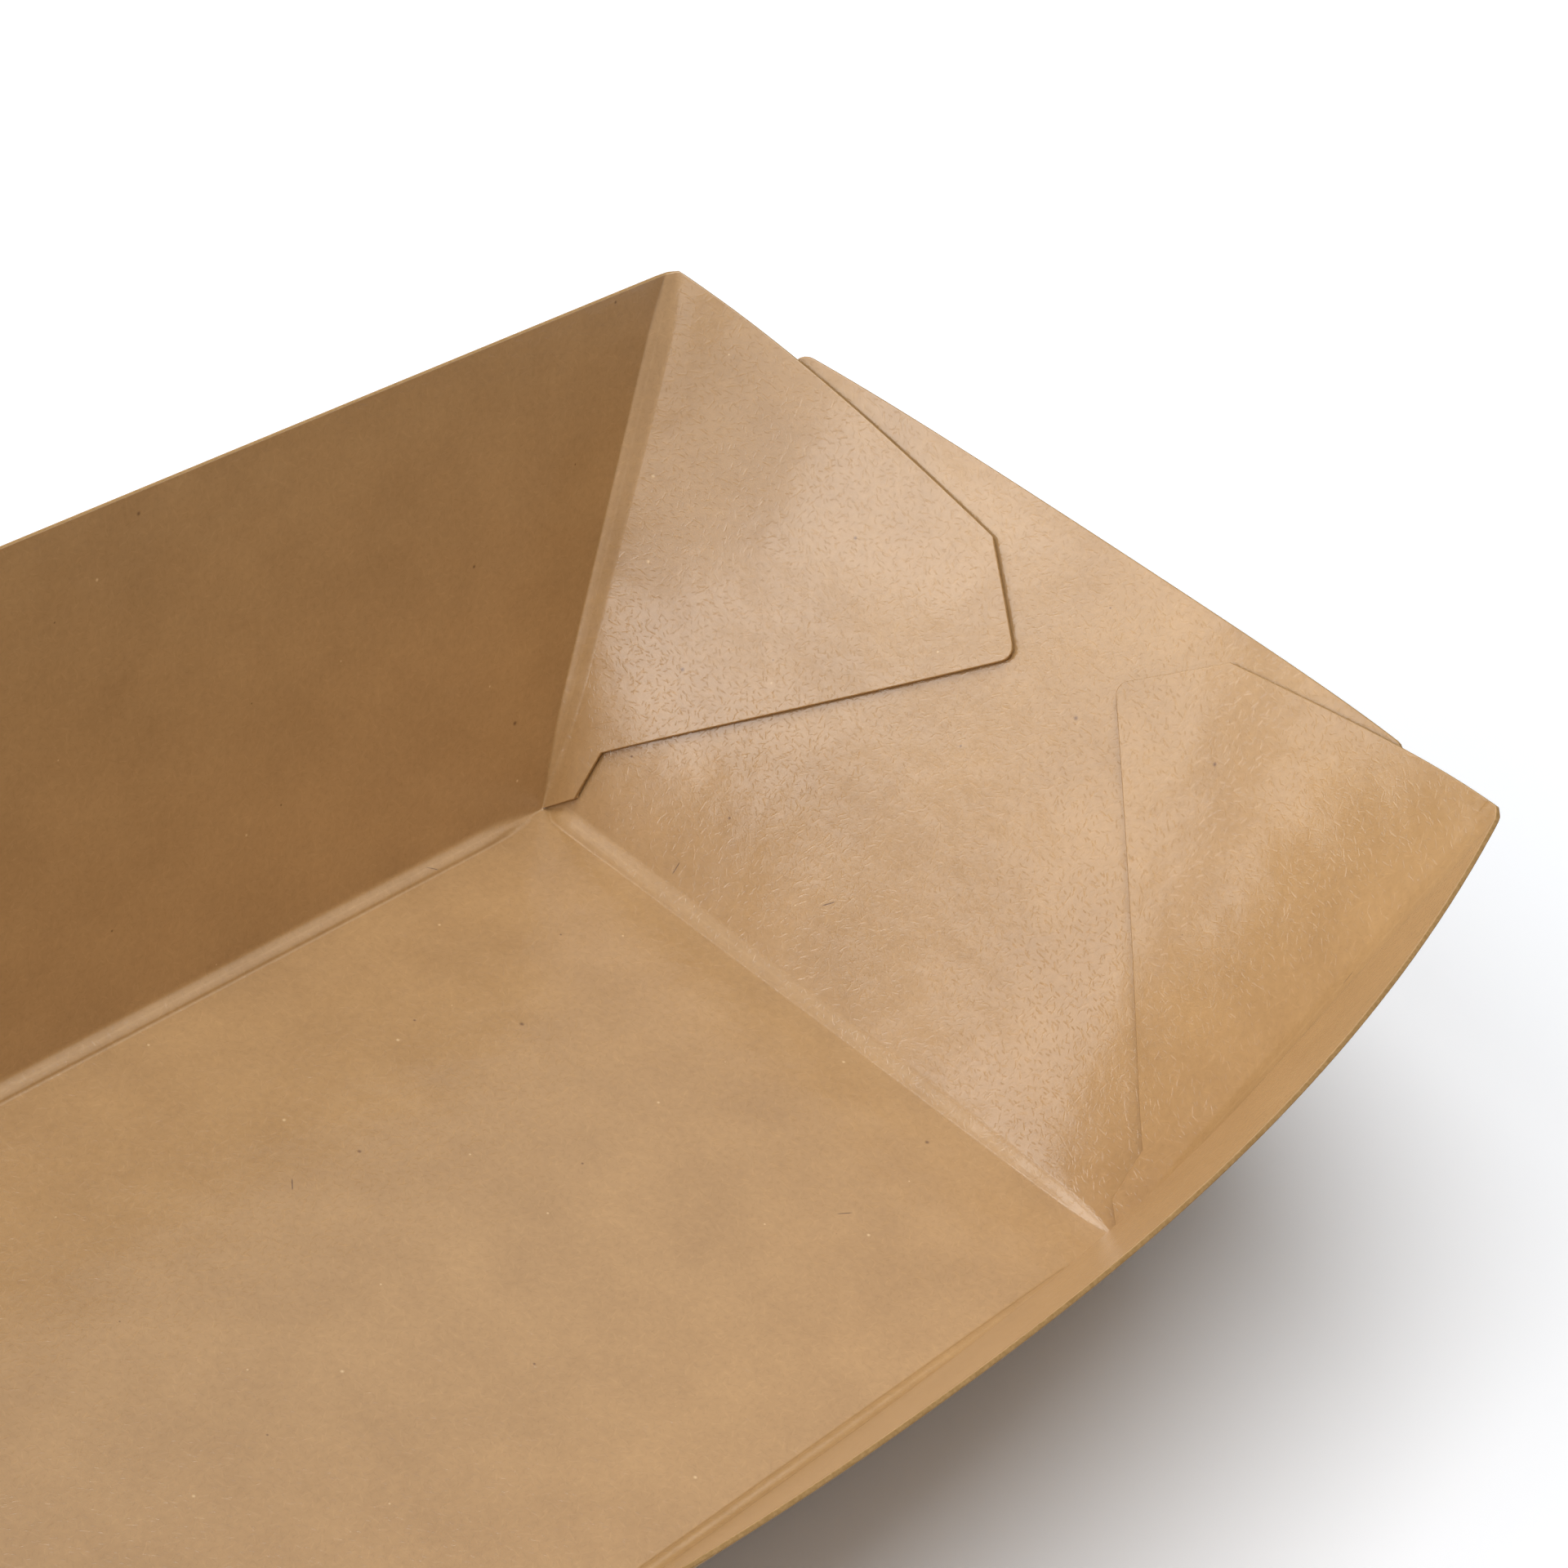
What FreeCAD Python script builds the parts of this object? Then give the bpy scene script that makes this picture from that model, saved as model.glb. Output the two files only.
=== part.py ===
"""Snack tray folded from one die-cut sheet of kraft board.

The base panel carries two long walls and two end walls on creased folds. A glue flap hangs on each end of
the long walls; it is turned round the corner and glued to the inside of the end wall. The rims of the end
walls and of the near long wall bulge outwards, as folded board does between its glued corners.

The inner ply (base, long walls and flaps), the outer ply (end walls) and the raised beads of the creases
are three bodies, fused into the one solid that the folded sheet is.

Frame: millimetres, +X along the tray, +Y towards the flat long wall, +Z up, origin at the middle of the
underside of the base.
"""
import FreeCAD, Part
import os
import Sketcher

DIMENSIONS = [
    # board
    ("board", 0.4),                # thickness of the sheet
    ("glue_bite", 0.1),            # depth to which a flap is pressed into the end wall
    # base and walls, measured to the outer faces of the inner ply
    ("base_length", 120),
    ("base_width", 70),
    ("wall_rise", 45.5),           # height of the tops of the corner folds
    ("side_lean", 13.7),           # lean of a long wall at its ends, degrees from upright
    ("end_lean", 21.9),            # lean of an end wall at its sides, degrees from upright
    ("near_bow", 13.1),            # bulge of the near long wall at the middle of its rim
    ("far_bow", 0.5),
    ("end_bow", 15),
    # end walls
    ("end_rim_drop", 0.8),         # top edge below the line between the corner folds, along the board
    ("end_foot_inset", 1.2),       # foot of a side edge, from the side of the base
    ("end_flare", 1.5),            # widening of each side from the foot to the rim
    ("end_corner_radius", 1.5),
    # creases
    ("fold_radius", 0.6),          # outer rounding of a fold
    ("bead_width", 1.1),           # reach of a bead along each of its two panels
    ("bead_crest", 0.25),          # bulge of a bead between its toes
    ("bead_root", 0.3),            # depth to which a bead is part of its panels
    # glue flaps: their points lie up the corner fold and across from it
    ("peak_up", 1.1),              # above the top of the fold
    ("peak_across", 1.7),
    ("tip_drop", 11.2),            # below the top of the fold
    ("tip_short", 14.5),           # short of half the width at the rims
    ("nose_drop", 20.2),
    ("nose_short", 8.2),
    ("heel_up", 7.5),
    ("heel_across", 4.6),
    ("foot_up", 2.6),
    ("foot_across", 3.5),
    ("flap_radius", 1.2),
    ("flap_skew", 2.9),            # degrees by which racking turns the flaps, down on +Y and up on -Y
]

# Sizes that follow from the driving ones.
DERIVED = [
    ("fold_tilt", "atan(tan(dims.side_lean) * cos(dims.end_lean)) / 1deg"),
    ("fold_length", "dims.wall_rise * sqrt(1 + tan(dims.side_lean)^2 + tan(dims.end_lean)^2)"),
    ("end_slant", "dims.wall_rise / cos(dims.end_lean) - dims.end_rim_drop"),
    ("rim_half_length", "dims.base_length / 2 + dims.wall_rise * tan(dims.end_lean)"),
    ("rim_half_width", "dims.base_width / 2 + dims.wall_rise * tan(dims.side_lean)"),
    ("form_top", "dims.wall_rise + 2 * (dims.peak_up + dims.peak_across)"),
    ("above", "form_top + 1"),
    ("wide", "rim_half_width + dims.near_bow + 10"),
]

QUADRANTS = ((1, 1), (-1, 1), (-1, -1), (1, -1))
TOLERANCE = 0.01

doc = FreeCAD.newDocument("snack_tray")

sheet = doc.addObject("Spreadsheet::Sheet", "dims")
for row, (alias, value) in enumerate(DIMENSIONS, start=1):
    sheet.set(f"A{row}", alias)
    sheet.set(f"B{row}", str(value))
    sheet.setAlias(f"B{row}", alias)
doc.recompute()

derived = doc.addObject("App::VarSet", "derived")
for name, formula in DERIVED:
    derived.addProperty("App::PropertyFloat", name)
    derived.setExpression(name, formula)
doc.recompute()


def amount(formula):
    """Present value of a formula, as a plain number."""
    value = derived.evalExpression(formula)
    return value.Value if hasattr(value, "Value") else float(value)


def signed(side, formula):
    """The formula on the positive side, its opposite on the negative one."""
    return formula if side > 0 else f"-({formula})"


# Sketches and features

def new_sketch(body, name, role, height="0"):
    """Sketch on one of the body's origin planes, lifted off it by the given height."""
    sketch = body.newObject("Sketcher::SketchObject", name)
    plane = next(feature for feature in body.Origin.OriginFeatures if feature.Role == role)
    sketch.AttachmentSupport = [(plane, "")]
    sketch.MapMode = "FlatFace"
    sketch.setExpression(".AttachmentOffset.Base.z", height)
    return sketch


def bind(sketch, constraint, formula):
    index = sketch.addConstraint(constraint)
    sketch.setExpression(f"Constraints[{index}]", formula)


def pin(sketch, edge, end, place):
    """Fix one end of an edge at the place that a pair of formulas gives."""
    for kind, formula in zip(("DistanceX", "DistanceY"), place):
        bind(sketch, Sketcher.Constraint(kind, -1, 1, edge, end, amount(formula)), formula)


def add_side(sketch, start, stop, bulge):
    """Line or arc from start to stop; gives the edge and the numbers of its two ends."""
    if bulge is None:
        return sketch.addGeometry(Part.LineSegment(start, stop)), 1, 2
    travel = stop - start
    right = FreeCAD.Vector(travel.y, -travel.x, 0).normalize()
    edge = sketch.addGeometry(Part.Arc(start, (start + stop) / 2 + right * amount(bulge), stop))
    from_start = [sketch.getPoint(edge, end).distanceToPoint(start) for end in (1, 2)]
    return (edge, 1, 2) if from_start[0] < from_start[1] else (edge, 2, 1)


def arc_radius(start, stop, bulge):
    """Formula for the radius of an arc between two places with the given bulge."""
    (x1, y1), (x2, y2) = start, stop
    chord_squared = f"((({x2}) - ({x1}))^2 + (({y2}) - ({y1}))^2)"
    return f"({chord_squared} / 4 + ({bulge})^2) / (2 * abs({bulge}))"


def outline(sketch, corners, bulges=None, rounds=None):
    """Closed outline through the corners, each a pair of formulas.

    bulges gives the number of each side that is an arc, with its bulge to the right of the direction of
    travel. rounds gives the number of each rounded corner, with its radius.
    """
    bulges = bulges or {}
    places = [FreeCAD.Vector(amount(x), amount(y), 0) for x, y in corners]
    places.append(places[0])
    sides = [add_side(sketch, places[n], places[n + 1], bulges.get(n)) for n in range(len(corners))]
    for number, (edge, start, _) in enumerate(sides):
        before, _, stop = sides[number - 1]
        sketch.addConstraint(Sketcher.Constraint("Coincident", before, stop, edge, start))
        pin(sketch, edge, start, corners[number])
    for number, bulge in bulges.items():
        radius = arc_radius(corners[number], corners[(number + 1) % len(corners)], bulge)
        bind(sketch, Sketcher.Constraint("Radius", sides[number][0], amount(radius)), radius)
    for number, radius in (rounds or {}).items():
        edges = sides[number - 1][0], sides[number][0]
        middles = [(places[number] + places[n]) / 2 for n in (number - 1, number + 1)]
        sketch.fillet(*edges, *middles, amount(radius), True, True)
        rounding = sketch.GeometryCount - 2
        bind(sketch, Sketcher.Constraint("Radius", rounding, amount(radius)), radius)
    return sketch


def loft(body, name, kind, sections):
    feature = body.newObject(f"PartDesign::{kind}", name)
    feature.Profile = sections[0]
    feature.Sections = sections[1:]
    feature.Ruled = True
    doc.recompute()
    return feature


def trim(body, name, sketch, side_type="Symmetric", turned=False):
    """Cut the sketch's outline right through the body."""
    before = body.Shape.Volume
    pocket = body.newObject("PartDesign::Pocket", name)
    pocket.Profile = sketch
    pocket.Type = "ThroughAll"
    pocket.SideType = side_type
    pocket.Reversed = turned
    doc.recompute()
    if pocket.Shape.Volume >= before:
        raise RuntimeError(f"{name} cuts nothing")


def soften(body, name, is_fold):
    """Round each edge whose middle passes the test to the outer radius of a fold."""
    base = body.Tip
    chosen = []
    for number, edge in enumerate(base.Shape.Edges, start=1):
        if is_fold(edge.valueAt((edge.FirstParameter + edge.LastParameter) / 2)):
            chosen.append(f"Edge{number}")
    fillet = body.newObject("PartDesign::Fillet", name)
    fillet.Base = (base, chosen)
    fillet.setExpression("Radius", "dims.fold_radius")
    doc.recompute()


# Form of the whole tray

def half_x(height, grow):
    """Half length of the form at a height, its faces moved outwards by grow."""
    return f"(dims.base_length / 2 + ({height}) * tan(dims.end_lean) + ({grow}) / cos(dims.end_lean))"


def half_y(height, grow):
    return f"(dims.base_width / 2 + ({height}) * tan(dims.side_lean) + ({grow}) / cos(dims.side_lean))"


def form(body, name, kind, foot, grow):
    """Flared form of the tray from the height foot to above the rims, its faces moved outwards by grow."""
    sections = []
    for height in (foot, "derived.form_top"):
        corners = [(signed(x, half_x(height, grow)), signed(y, half_y(height, grow))) for x, y in QUADRANTS]
        bows = {0: "far_bow", 1: "end_bow", 2: "near_bow", 3: "end_bow"}
        bulges = {side: f"dims.{bow} * ({height}) / dims.wall_rise" for side, bow in bows.items()}
        if height == foot:
            bulges = {}
        sketch = new_sketch(body, f"{name}_section_{len(sections) + 1}", "XY_Plane", height)
        sections.append(outline(sketch, corners, bulges))
    return loft(body, name, kind, sections)


# Inner ply: base, long walls and four flaps

inner_ply = doc.addObject("PartDesign::Body", "inner_ply")
form(inner_ply, "blank_form", "AdditiveLoft", "0", "0")
form(inner_ply, "hollow", "SubtractiveLoft", "dims.board", "-dims.board")


def is_side_or_corner_fold(middle):
    """A long fold under the base, or a corner fold on the outside."""
    if middle.z < TOLERANCE:
        return abs(middle.y) > amount(half_y("0", "0")) - TOLERANCE
    outer_x = amount(half_x(str(middle.z), "0"))
    below_top = middle.z < amount("derived.form_top") - TOLERANCE
    return below_top and abs(abs(middle.x) - outer_x) < TOLERANCE


soften(inner_ply, "outer_folds", is_side_or_corner_fold)


def trim_rim(name, side, bow):
    """Die-cut rim of a long wall: straight in the flat sheet, so it sags where the wall bulges out."""
    slant = "dims.wall_rise / cos(dims.side_lean)"
    sag = f"(dims.wall_rise - sqrt(({slant})^2 - (dims.wall_rise * tan(dims.side_lean) + {bow})^2))"
    reach = "derived.rim_half_length - 2 * dims.board"
    corners = [(signed(-1, reach), "dims.wall_rise"), (reach, "dims.wall_rise"),
               (reach, "derived.above"), (signed(-1, reach), "derived.above")]
    sketch = outline(new_sketch(inner_ply, f"{name}_line", "XZ_Plane"), corners, bulges={0: sag})
    trim(inner_ply, name, sketch, "One side", turned=side < 0)


trim_rim("near_rim", -1, "dims.near_bow")
trim_rim("far_rim", 1, "dims.far_bow")


def on_end_wall(place):
    """Height of a place on the bulging end walls, given by its formulas across the tray and up the board."""
    across, slant = place
    half_width = half_y(f"({slant}) * cos(dims.end_lean)", "0")
    bow = f"dims.end_bow * (1 - (({across}) / {half_width})^2)"
    return f"(({slant}) * cos(atan(tan(dims.end_lean) + {bow} / dims.wall_rise)))"


def flap_point(up, across, turn):
    """Place on the end wall of a point of the +Y flap, by its distances up and across the corner fold."""
    tilt = f"(derived.fold_tilt + ({turn}))"
    return (f"(dims.base_width / 2 + ({up}) * sin({tilt}) - ({across}) * cos({tilt}))",
            f"(({up}) * cos({tilt}) + ({across}) * sin({tilt}))")


def cut_sag(start, stop):
    """Sag of an edge that is straight in the flat sheet, from start to stop on the bulging end wall."""
    middle = [f"({a} + {b}) / 2" for a, b in zip(start, stop)]
    z1, z2 = on_end_wall(start), on_end_wall(stop)
    run = f"({start[0]} - {stop[0]})"
    drop = f"({z1} - {z2})"
    return f"(({z1} + {z2}) / 2 - {on_end_wall(middle)}) * {run} / sqrt({run}^2 + {drop}^2)"


def flap_edge(turn):
    """Places of the +Y flap's cut edge, from the peak over the tip, nose and heel to the foot."""
    tip_across = "derived.rim_half_width - dims.tip_short"
    nose_across = "derived.rim_half_width - dims.nose_short"
    return [
        flap_point("derived.fold_length + dims.peak_up", "dims.peak_across", "0"),
        flap_point("derived.fold_length - dims.tip_drop", tip_across, turn),
        flap_point("derived.fold_length - dims.nose_drop", nose_across, turn),
        flap_point("dims.heel_up", "dims.heel_across", turn),
        flap_point("dims.foot_up", "dims.foot_across", turn),
    ]


def flap_outline(side):
    """Corners of a flap's cut edge seen along the tray, from the rim of its long wall to the base."""
    places = flap_edge(signed(-side, "dims.flap_skew"))
    corners = [(signed(side, place[0]), on_end_wall(place)) for place in places]
    rim_end = (signed(side, "derived.rim_half_width"), "dims.wall_rise")
    base_end = (signed(side, "dims.base_width / 2 - dims.board"), "dims.board")
    return [rim_end] + corners + [base_end], f"-({cut_sag(places[0], places[1])})"


# One cut along the tray frees the flaps at both ends: it follows the +Y flap down and the -Y flap up.
down, down_sag = flap_outline(1)
up, up_sag = flap_outline(-1)
surround = [("-derived.wide", "dims.wall_rise"), ("-derived.wide", "derived.above"),
            ("derived.wide", "derived.above"), ("derived.wide", "dims.wall_rise")]
peak, tip, nose = 1, 2, 3
last = len(down) + len(up) - 1
flap_line = outline(new_sketch(inner_ply, "flap_line", "YZ_Plane"), down + up[::-1] + surround,
                    bulges={peak: down_sag, last - tip: up_sag},
                    rounds={nose: "dims.flap_radius", last - nose: "dims.flap_radius"})
trim(inner_ply, "flaps", flap_line)

# Outer ply: the two end walls, outside the flaps

outer_ply = doc.addObject("PartDesign::Body", "outer_ply")
form(outer_ply, "wrap_form", "AdditiveLoft", "0", "dims.board")
form(outer_ply, "wrap_hollow", "SubtractiveLoft", "0", "-dims.glue_bite")


def is_end_fold(middle):
    """An end fold under the base, on the outside."""
    return middle.z < TOLERANCE and abs(middle.x) > amount(half_x("0", "0"))


soften(outer_ply, "end_folds", is_end_fold)


def end_wall_outline():
    """Corners and bulging sides of an end wall seen along the tray, with all that lies around it."""
    foot_y = "dims.base_width / 2 - dims.end_foot_inset"
    rim_y = f"{foot_y} + dims.end_flare"
    top_y = f"{rim_y} - dims.end_corner_radius"
    shoulder_z = on_end_wall((top_y, "derived.end_slant"))
    side_z = f"{shoulder_z} - dims.end_corner_radius"
    sag = f"{on_end_wall(('0', 'derived.end_slant'))} - {shoulder_z}"
    quarter_round = "dims.end_corner_radius * (1 - sqrt(0.5))"
    right = [("derived.wide", "-1"), (foot_y, "-1"), (foot_y, "0"), (rim_y, side_z), (top_y, shoulder_z)]
    left = [(signed(-1, y), z) for y, z in right[::-1]]
    frame = [("-derived.wide", "derived.above"), ("derived.wide", "derived.above")]
    return right + left + frame, {3: quarter_round, 4: sag, 5: quarter_round}


end_wall_line = new_sketch(outer_ply, "end_wall_line", "YZ_Plane")
trim(outer_ply, "end_walls", outline(end_wall_line, *end_wall_outline()))

# Creases: the board bulges into a low bead along the inside of every fold

creases = doc.addObject("PartDesign::Body", "creases")


def base_beads(name, role, corner, lean, half_run):
    """Beads on two opposite folds of the base, whose walls lean away from it."""
    heel = (f"{corner} + dims.bead_root", "dims.board - dims.bead_root")
    on_wall = (f"{corner} + dims.bead_width * sin({lean}) + dims.bead_root * cos({lean})",
               f"dims.board + dims.bead_width * cos({lean})")
    on_base = (f"{corner} - dims.bead_width", "dims.board - dims.bead_root")
    for number, side in enumerate((1, -1), start=1):
        corners = [(signed(side, across), up) for across, up in (heel, on_wall, on_base)]
        sketch = new_sketch(creases, f"{name}_{number}_line", role)
        pad = creases.newObject("PartDesign::Pad", f"{name}_{number}")
        pad.Profile = outline(sketch, corners, bulges={1: signed(side, "dims.bead_crest")})
        pad.SideType = "Symmetric"
        pad.setExpression("Length", f"2 * {half_run}")
        doc.recompute()


inner_x = half_x("dims.board", "-dims.board")
inner_y = half_y("dims.board", "-dims.board")
base_beads("side_bead", "YZ_Plane", inner_y, "dims.side_lean", inner_x)
base_beads("end_bead", "XZ_Plane", half_x("dims.board", "-dims.glue_bite"), "dims.end_lean", inner_y)


def corner_bead(name, x_side, y_side):
    """Bead up a corner fold, from the base to the rim."""
    sections = []
    for height in ("dims.board / 2", "dims.wall_rise"):
        x, y = half_x(height, "-dims.board"), half_y(height, "-dims.board")
        lens = [(f"{x} + dims.bead_root", f"{y} + dims.bead_root"),
                (f"{x} - dims.bead_width", f"{y} + dims.bead_root"),
                (f"{x} + dims.bead_root", f"{y} - dims.bead_width")]
        corners = [(signed(x_side, across), signed(y_side, along)) for across, along in lens]
        sketch = new_sketch(creases, f"{name}_section_{len(sections) + 1}", "XY_Plane", height)
        sections.append(outline(sketch, corners, bulges={1: signed(x_side * y_side, "dims.bead_crest")}))
    loft(creases, name, "AdditiveLoft", sections)


for number, (x_side, y_side) in enumerate(QUADRANTS, start=1):
    corner_bead(f"corner_bead_{number}", x_side, y_side)

# The folded sheet

tray = doc.addObject("Part::MultiFuse", "tray")
tray.Label = "tray"
tray.Placement = FreeCAD.Placement()
tray.Shapes = [inner_ply, outer_ply, creases]
tray.Refine = True
doc.recompute()

for item in doc.Objects:
    if "Invalid" in item.State or "Error" in item.State:
        raise RuntimeError(f"{item.Label}: {item.State}")
if tray.Shape.isNull() or not tray.Shape.isValid() or len(tray.Shape.Solids) != 1:
    raise RuntimeError("the tray is not one valid solid")

os.makedirs("parts", exist_ok=True)
tray.Shape.exportStep(f"parts/{tray.Label}.step")
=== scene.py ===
"""Snack tray: one die-cut sheet of coated kraft board, creased, folded and glued at its four corners."""

import math

import bmesh
import bpy
from mathutils import Matrix, Vector


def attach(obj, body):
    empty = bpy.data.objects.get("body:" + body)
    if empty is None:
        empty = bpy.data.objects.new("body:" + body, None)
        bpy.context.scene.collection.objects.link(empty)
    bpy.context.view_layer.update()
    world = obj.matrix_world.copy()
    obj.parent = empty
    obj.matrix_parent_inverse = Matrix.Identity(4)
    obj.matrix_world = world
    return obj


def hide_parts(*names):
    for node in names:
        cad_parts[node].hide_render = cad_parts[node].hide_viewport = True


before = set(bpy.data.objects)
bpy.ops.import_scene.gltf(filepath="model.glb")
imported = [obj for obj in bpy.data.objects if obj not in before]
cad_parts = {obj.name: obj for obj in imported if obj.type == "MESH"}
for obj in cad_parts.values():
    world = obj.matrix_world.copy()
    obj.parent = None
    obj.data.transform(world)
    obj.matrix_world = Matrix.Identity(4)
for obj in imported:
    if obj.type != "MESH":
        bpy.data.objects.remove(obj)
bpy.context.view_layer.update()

# Viewpoint
# A long lens held above one corner of the tray, looking down along it at its +X end. The angles turn it from
# the +X axis, tilt it down from level, and roll it about its own line of sight.

LENS_LENGTH = 93.31
LENS_PLACE = (-0.16338, -0.14943, 0.23470)
PAN, TILT, ROLL = math.radians(35.342), math.radians(38.013), math.radians(12.293)

lens = bpy.data.cameras.new("viewpoint")
lens.sensor_width = 36
lens.lens = LENS_LENGTH
lens.clip_start = 0.01
viewpoint = bpy.data.objects.new("viewpoint", lens)
facing = Matrix.Rotation(PAN - math.pi / 2, 4, "Z") @ Matrix.Rotation(math.pi / 2 - TILT, 4, "X")
viewpoint.matrix_world = Matrix.Translation(LENS_PLACE) @ facing @ Matrix.Rotation(ROLL, 4, "Z")
bpy.context.collection.objects.link(viewpoint)
bpy.context.scene.camera = viewpoint

# Folded sheet
# Natural brown kraft board, 0.4 mm thick. It is die-cut flat, creased along eight folds, turned up into
# sloping walls, and held by four flaps that are glued inside the end walls. All sizes are in millimetres.

BOARD = 0.4
GLUE = 0.02
BASE_LENGTH = 120
BASE_WIDTH = 70
WALL_RISE = 46.0
SIDE_LEAN = math.radians(13.7)
END_LEAN = math.radians(21.9)

# The feet are where the inner faces meet: half along and half across the inside of the base.
FOOT_X = BASE_LENGTH / 2 + BOARD * math.tan(END_LEAN) - BOARD / math.cos(END_LEAN)
FOOT_Y = BASE_WIDTH / 2 + BOARD * math.tan(SIDE_LEAN) - BOARD / math.cos(SIDE_LEAN)
END_FOOT = FOOT_Y
RISE = WALL_RISE - BOARD
SIDE_SLANT = RISE / math.cos(SIDE_LEAN)

# How far the middle of each rim bulges outwards, and how far a long rim dips there. Side -1 is the bowed
# long wall and side 1 the straight one.
SIDE_BOW = {-1: 13.0, 1: 0.35}
SIDE_DIP = {-1: 5.36, 1: 0.13}
END_BOW = 14.78

# How full that bulge is towards the corners. 2 is a plain parabola on a long wall, and 0 is on an end wall.
BOW_FULLNESS = {-1: 2.2, 1: 2}
END_BOW_FULLNESS = 0.1

# The end walls also belly out a little between foot and rim, less and less near the corners.
END_BELLY = 0.9
BELLY_FADE = 2.2

# The corner fold as it lies on the flat end: its tilt, and its length for each millimetre of long wall.
FOLD_TILT = math.atan(math.tan(SIDE_LEAN) * math.cos(END_LEAN))
FOLD_STRETCH = math.cos(SIDE_LEAN) / (math.cos(FOLD_TILT) * math.cos(END_LEAN))
CORNER_TOP = SIDE_SLANT * FOLD_STRETCH

# The corner fold as it lies on the flat blank: its angle from straight across the tray.
CORNER_SPLAY = math.atan(math.cos(SIDE_LEAN) * math.tan(END_LEAN))


def smooth(value):
    value = min(max(value, 0), 1)
    return value * value * (3 - 2 * value)


def half_length(rise):
    return FOOT_X + rise * math.tan(END_LEAN)


def half_width(rise):
    return FOOT_Y + rise * math.tan(SIDE_LEAN)


def side_lean_at(place, side):
    """Lean of a long wall at a place along it, 0 in the middle and 1 at the corner."""
    share = 1 - abs(place) ** BOW_FULLNESS[side]
    return math.atan(math.tan(SIDE_LEAN) + SIDE_BOW[side] * share / RISE)


def long_wall(x, slant, side):
    """Point on the inner face of a long wall."""
    lean = side_lean_at(x / half_length(slant * math.cos(SIDE_LEAN)), side)
    return Vector((x, side * (FOOT_Y + slant * math.sin(lean)), BOARD + slant * math.cos(lean)))


def end_lean_at(y, slant):
    share = (y / half_width(slant * math.cos(END_LEAN))) ** 2
    return math.atan(math.tan(END_LEAN) + END_BOW * (1 - share) * (1 + END_BOW_FULLNESS * share) / RISE)


def end_face(y, slant):
    """Point on the inner face of the glued end, on the flaps' side of the glue."""
    lean = end_lean_at(y, slant)
    up = slant * math.cos(END_LEAN) / RISE
    from_corner = 1 - abs(y) / half_width(slant * math.cos(END_LEAN))
    belly = END_BELLY * 4 * up * (1 - up) * smooth(BELLY_FADE * from_corner)
    return Vector((FOOT_X + slant * math.sin(lean) + belly * math.cos(lean), y,
                   BOARD + slant * math.cos(lean) - belly * math.sin(lean)))


def outward(face, u, v, *rest):
    """Unit normal of a face at a place, pointing out of the tray."""
    nearby = 0.01
    along_u = face(u + nearby, v, *rest) - face(u - nearby, v, *rest)
    along_v = face(u, v + nearby, *rest) - face(u, v - nearby, *rest)
    normal = along_u.cross(along_v).normalized()
    return -normal if normal.z > 0 else normal


def over_fold(distance, here, there, foot_here, foot_there):
    """Shift of a point near a fold, from its flat panel on to the curve that bridges the fold.

    here and there point away from the fold along the point's own panel and the other one. Each foot gives the
    curve's reach on its panel, its hold there before it turns, and its lift towards the other panel.
    """
    reach, hold, lift = foot_here
    far_reach, far_hold, far_lift = foot_there
    if distance >= reach:
        return Vector()
    turn = (1 - distance / reach) / 2
    start, leave, arrive = (1 - turn) ** 3, 3 * turn * (1 - turn) ** 2, 3 * turn ** 2 * (1 - turn)
    along_here = start * reach + leave * hold + arrive * far_lift
    along_there = turn ** 3 * far_reach + arrive * far_hold + leave * lift
    return here * (along_here - distance) + there * along_there


# The crease stands up inside as a bead: it climbs steeply off the base, and runs flat into the wall. Each
# foot of a bead is its reach, its hold and its lift, as over_fold takes them.
STEEP_FOOT = {"side": Vector((1.1, 1.1, 0.85)), "end": Vector((1.05, 1.0, 0.7))}
FLAT_FOOT = {"side": Vector((1.25, 0.35, 0.05)), "end": Vector((1.35, 0.75, 0.12))}

# At the corners, the feet on the long wall and on the flap. The bowed side is drawn out into a soft curve.
CORNER_FEET = {-1: (Vector((1.1, 0.6, 0.16)), Vector((1.1, 0.6, 0.16))),
               1: (Vector((0.8, 0.8, 0.6)), Vector((1.3, 0.75, 0.45)))}
ROUND_FOOT = Vector((0.6, 0.2, 0))

# The beads fade out over these lengths from their ends. The end fold's is larger towards the straight side,
# and a corner's keeps part of its size at the rim.
SIDE_FADE = 7
END_FADE = {-1: 7, 1: 2.5}
END_BEAD_SIZE = 0.8
END_BEAD_GROWTH = 0.2
CORNER_FOOT_FADE = 11
CORNER_TOP_FADE = 6
CORNER_TOP_SIZE = 0.45

# The board's surface is worn and cracked this far to either side of a fold.
WORN_REACH = 0.5


def fold_shift(distance, size, here, there, feet, out_here, out_there):
    """Shifts of the inner and the outer face of the board near a fold."""
    inner = over_fold(distance, here, there, feet[0] * size, feet[1] * size)
    mitre = (out_here + out_there) * BOARD / (1 + out_here.dot(out_there)) - out_here * BOARD
    near = max(0, 1 - distance / ROUND_FOOT[0] / 2)
    outer = mitre * near + over_fold(distance + mitre.length * near, here, there, ROUND_FOOT, ROUND_FOOT)
    return inner, outer, size * max(0, 1 - distance / WORN_REACH)


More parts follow.
